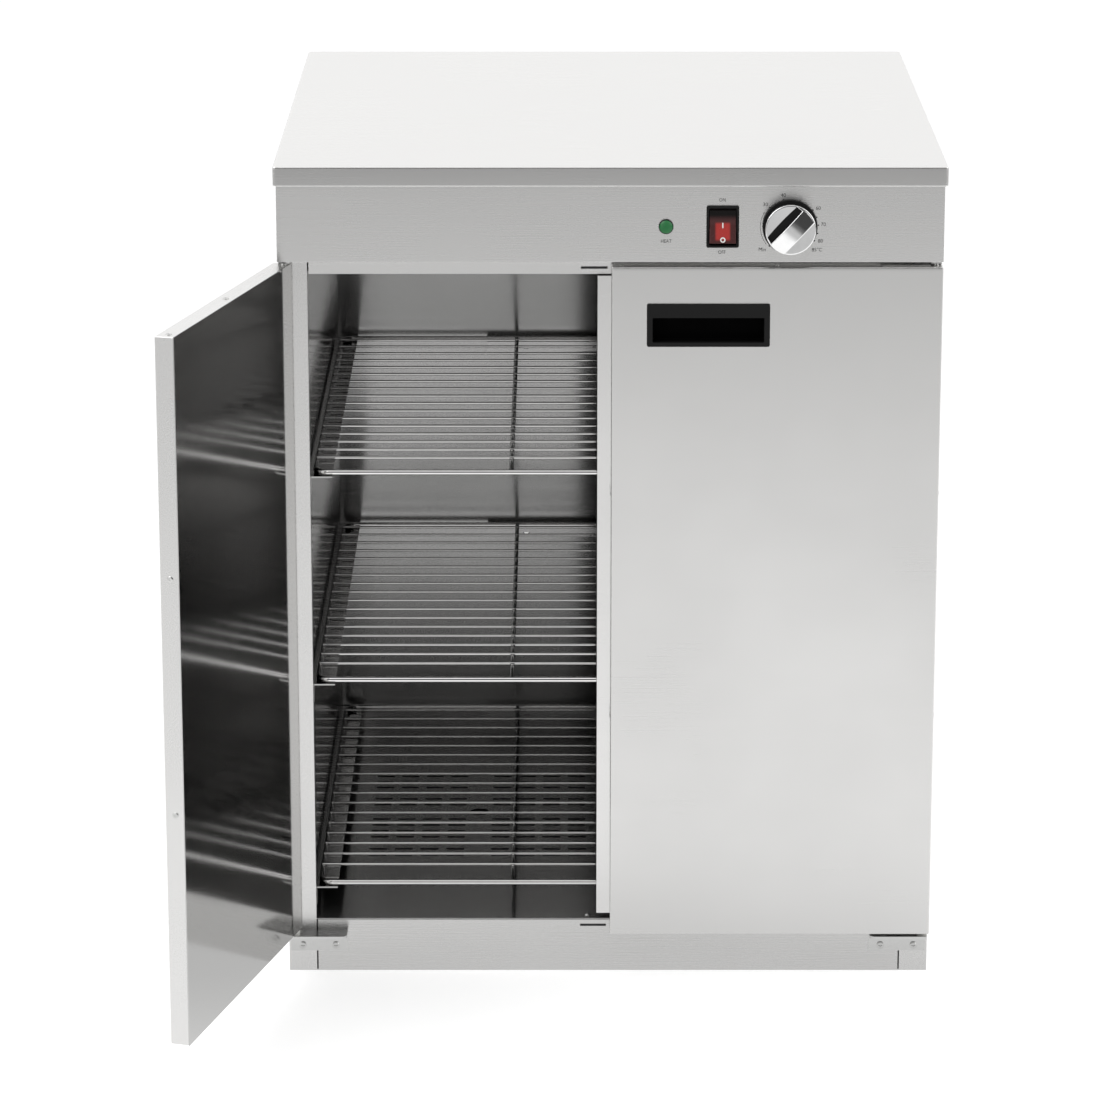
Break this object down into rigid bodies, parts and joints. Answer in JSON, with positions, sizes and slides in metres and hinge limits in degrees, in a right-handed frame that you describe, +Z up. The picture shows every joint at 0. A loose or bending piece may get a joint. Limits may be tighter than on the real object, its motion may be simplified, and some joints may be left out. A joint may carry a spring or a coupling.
{
  "type": "plate warmer cabinet",
  "caption": "Free-standing heated plate cabinet in brushed steel: worktop lid, hinged double doors with recessed pulls, wire shelves on runners and a control fascia.",
  "frame": {"origin": "centre of the cabinet's footprint, on the ground", "axes": "+Z up, -Y towards the front with the doors, +X to the right of a person facing the doors"},
  "size_m": [0.8002, 1.028, 0.9],
  "materials": {
    "worktop_steel": "fine brushed stainless steel",
    "body_steel": "satin brushed stainless steel",
    "door_steel": "satin brushed stainless steel, brushed across",
    "chamber_steel": "bright annealed stainless steel",
    "coated_steel": "zinc-coated sheet",
    "plated_steel": "bright zinc plate",
    "shelf_wire": "nickel-chrome plated wire",
    "magnet_case": "moulded plastic and steel poles",
    "mineral_wool": "pressed mineral wool",
    "element_sheath": "heat-darkened sheath",
    "ceramic": "glazed ceramic and heat-proof moulding",
    "black_plastic": "moulded black plastic",
    "nylon": "white nylon",
    "copper": "bright copper",
    "knob_cap": "bright plated cap",
    "rocker_red": "glossy red plastic",
    "lamp_green": "faceted green plastic"
  },
  "bodies": {
    "cabinet": {"base_pan": "coated_steel", "left_side_panel": "body_steel", "right_side_panel": "body_steel", "back_panel": "coated_steel", "plinth_rail": "body_steel", "top_rail": "body_steel", "top_lid": "worktop_steel", "lid_stiffeners": "coated_steel", "control_fascia": "body_steel", "left_chamber_wall": "chamber_steel", "right_chamber_wall": "chamber_steel", "rear_chamber_wall": "chamber_steel", "chamber_roof": "chamber_steel", "perforated_floor": "chamber_steel", "chamber_insulation": "mineral_wool", "base_insulation": "mineral_wool", "element_tray": "chamber_steel", "heating_elements": "element_sheath", "element_brackets": "plated_steel", "terminal_block": "ceramic", "cable_gland": "black_plastic", "gland_locknut": "black_plastic", "wiring_conduit": "coated_steel", "left_shelf_runners": "chamber_steel", "right_shelf_runners": "chamber_steel", "rear_shelf_rests": "chamber_steel", "chamber_screws": "plated_steel", "magnetic_catches": "magnet_case", "hinge_brackets": "plated_steel", "hinge_pins": "plated_steel", "hinge_washers": "nylon", "hinge_screws": "plated_steel", "back_panel_screws": "plated_steel", "thermostat_body": "ceramic", "sensing_bulb": "copper", "bulb_clips": "plated_steel", "switch_housing": "black_plastic", "lamp_bezel": "black_plastic", "lamp_lens": "lamp_green"},
    "left_door": {"left_door_skin": "door_steel", "left_door_liner": "chamber_steel", "left_door_insulation": "mineral_wool", "left_pull_cup": "black_plastic", "left_door_screws": "plated_steel", "left_door_bushes": "nylon"},
    "right_door": {"right_door_skin": "door_steel", "right_door_liner": "chamber_steel", "right_door_insulation": "mineral_wool", "right_pull_cup": "black_plastic", "right_door_screws": "plated_steel", "right_door_bushes": "nylon", "door_astragal": "door_steel"},
    "knob": {"thermostat_spindle": "plated_steel", "knob_skirt": "black_plastic", "control_knob": "knob_cap"},
    "rocker": {"switch_rocker": "rocker_red"},
    "upper_shelf": {"upper_shelf": "shelf_wire"},
    "middle_shelf": {"middle_shelf": "shelf_wire"},
    "lower_shelf": {"lower_shelf": "shelf_wire"}
  },
  "joints": [
    {"name": "left_door_hinge", "type": "hinge", "parent": "cabinet", "child": "left_door", "pos_m": [-0.3415, -0.3325, 0.42], "axis": [0, 0, 1], "range_deg": [-9, 106]},
    {"name": "right_door_hinge", "type": "hinge", "parent": "cabinet", "child": "right_door", "pos_m": [0.3415, -0.3325, 0.42], "axis": [0, 0, 1], "range_deg": [0, 115]},
    {"name": "thermostat_turn", "type": "hinge", "parent": "cabinet", "child": "knob", "pos_m": [0.187, -0.36, 0.836], "axis": [0, 1, 0], "range_deg": [0, 263]},
    {"name": "rocker_tilt", "type": "hinge", "parent": "cabinet", "child": "rocker", "pos_m": [0.117, -0.344, 0.836], "axis": [1, 0, 0], "range_deg": [0, 18]},
    {"name": "upper_shelf_slide", "type": "slide", "parent": "cabinet", "child": "upper_shelf", "axis": [0, -1, 0], "range_m": [0, 0.014]},
    {"name": "middle_shelf_slide", "type": "slide", "parent": "cabinet", "child": "middle_shelf", "axis": [0, -1, 0], "range_m": [0, 0.014]},
    {"name": "lower_shelf_slide", "type": "slide", "parent": "cabinet", "child": "lower_shelf", "axis": [0, -1, 0], "range_m": [0, 0.014]}
  ]
}
